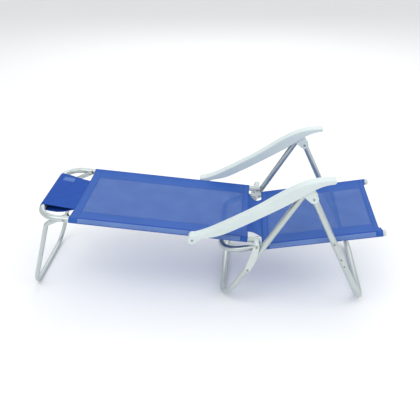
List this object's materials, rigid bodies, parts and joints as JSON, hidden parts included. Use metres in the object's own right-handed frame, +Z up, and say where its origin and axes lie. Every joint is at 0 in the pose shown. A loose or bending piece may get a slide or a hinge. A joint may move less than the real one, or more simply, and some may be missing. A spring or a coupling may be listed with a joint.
{
  "type": "folding sun lounger",
  "caption": "Folding beach lounger with a bent-tube frame, blue mesh sling, pillow at the head, curved sliding armrests, crossed folding legs and a kinked head leg.",
  "frame": {"origin": "centre of the footprint's bounding box, on the ground it stands on", "axes": "+X toward the foot end along the chair, +Y to the sitter's left, +Z up"},
  "size_m": [1.465, 0.5764, 0.586],
  "materials": {
    "aluminium_tube": "satin, drawn tube",
    "pressed_aluminium": "satin, pressed",
    "white_plastic": "fine satin, moulded",
    "sling_mesh": "open woven mesh with plain hems",
    "pillow_cloth": "close weave, thinly padded",
    "rivet_steel": "zinc plated"
  },
  "bodies": {
    "seat": {"seat_frame_tube": "aluminium_tube", "seat_cross_tube": "aluminium_tube", "cross_tube_plugs": "white_plastic", "seat_end_caps": "white_plastic", "hinge_plate_left": "pressed_aluminium", "hinge_plate_right": "pressed_aluminium", "hinge_pins": "rivet_steel", "hinge_plate_rivets": "rivet_steel", "hinge_spacer_bushes": "white_plastic", "front_leg_pivot_pins": "rivet_steel", "front_leg_spacers": "white_plastic", "seat_cloth": "sling_mesh", "hinge_cloth": "sling_mesh"},
    "backrest": {"backrest_frame_tube": "aluminium_tube", "backrest_end_plugs": "white_plastic", "backrest_cloth": "sling_mesh", "head_pillow": "pillow_cloth", "armrest_pivot_pins": "rivet_steel", "head_leg_pivot_pins": "rivet_steel"},
    "armrest_left_body": {"armrest_left": "white_plastic"},
    "armrest_right_body": {"armrest_right": "white_plastic"},
    "front_leg": {"front_leg_tube": "aluminium_tube", "knuckle_pivot_pins": "rivet_steel", "fold_stop_rivets_1": "rivet_steel", "fold_stop_rivets_2": "rivet_steel"},
    "knuckle_left_body": {"knuckle_left": "white_plastic", "rear_leg_pin_left": "rivet_steel"},
    "knuckle_right_body": {"knuckle_right": "white_plastic", "rear_leg_pin_right": "rivet_steel"},
    "rear_leg": {"rear_leg_tube": "aluminium_tube"},
    "link_left_body": {"link_left": "pressed_aluminium", "link_rivet_left": "rivet_steel"},
    "link_right_body": {"link_right": "pressed_aluminium", "link_rivet_right": "rivet_steel"},
    "head_leg": {"head_leg_tube": "aluminium_tube"}
  },
  "joints": [
    {"name": "recline", "type": "hinge", "parent": "seat", "child": "backrest", "pos_m": [0.229, 0, 0.291], "axis": [0, 1, 0], "range_deg": [0, 72]},
    {"name": "armrest_left_swing", "type": "hinge", "parent": "backrest", "child": "armrest_left_body", "pos_m": [-0.024, 0.264, 0.31402], "axis": [0, -1, 0], "range_deg": [0, 48]},
    {"name": "armrest_right_swing", "type": "hinge", "parent": "backrest", "child": "armrest_right_body", "pos_m": [-0.024, -0.264, 0.31402], "axis": [0, -1, 0], "range_deg": [0, 48]},
    {"name": "leg_fold", "type": "hinge", "parent": "seat", "child": "front_leg", "pos_m": [0.52947, 0, 0.30835], "axis": [0, 1, 0], "range_deg": [0, 84]},
    {"name": "knuckle_left_fold", "type": "hinge", "parent": "front_leg", "child": "knuckle_left_body", "pos_m": [0.436, 0.264, 0.505], "axis": [0, -1, 0], "range_deg": [0, 59.5]},
    {"name": "knuckle_right_fold", "type": "hinge", "parent": "front_leg", "child": "knuckle_right_body", "pos_m": [0.436, -0.264, 0.505], "axis": [0, -1, 0], "range_deg": [0, 59.5]},
    {"name": "rear_leg_fold", "type": "hinge", "parent": "knuckle_right_body", "child": "rear_leg", "pos_m": [0.40491, 0, 0.528], "axis": [0, 1, 0], "range_deg": [0, 5.8]},
    {"name": "link_left_fold", "type": "hinge", "parent": "seat", "child": "link_left_body", "pos_m": [0.229, 0.264, 0.291], "axis": [0, -1, 0], "range_deg": [0, 95]},
    {"name": "link_right_fold", "type": "hinge", "parent": "seat", "child": "link_right_body", "pos_m": [0.229, -0.264, 0.291], "axis": [0, -1, 0], "range_deg": [0, 95]},
    {"name": "head_leg_fold", "type": "hinge", "parent": "backrest", "child": "head_leg", "pos_m": [-0.545, 0, 0.36144], "axis": [0, -1, 0], "range_deg": [0, 108]}
  ],
  "couplings": [
    {"joint": "armrest_left_swing", "follows": "recline", "ratio": 0.66},
    {"joint": "armrest_right_swing", "follows": "recline", "ratio": 0.66},
    {"joint": "knuckle_left_fold", "follows": "leg_fold", "ratio": 0.7},
    {"joint": "knuckle_right_fold", "follows": "leg_fold", "ratio": 0.7},
    {"joint": "rear_leg_fold", "follows": "leg_fold", "ratio": 0.0661},
    {"joint": "link_left_fold", "follows": "leg_fold", "ratio": 1.1209},
    {"joint": "link_right_fold", "follows": "leg_fold", "ratio": 1.1209}
  ]
}
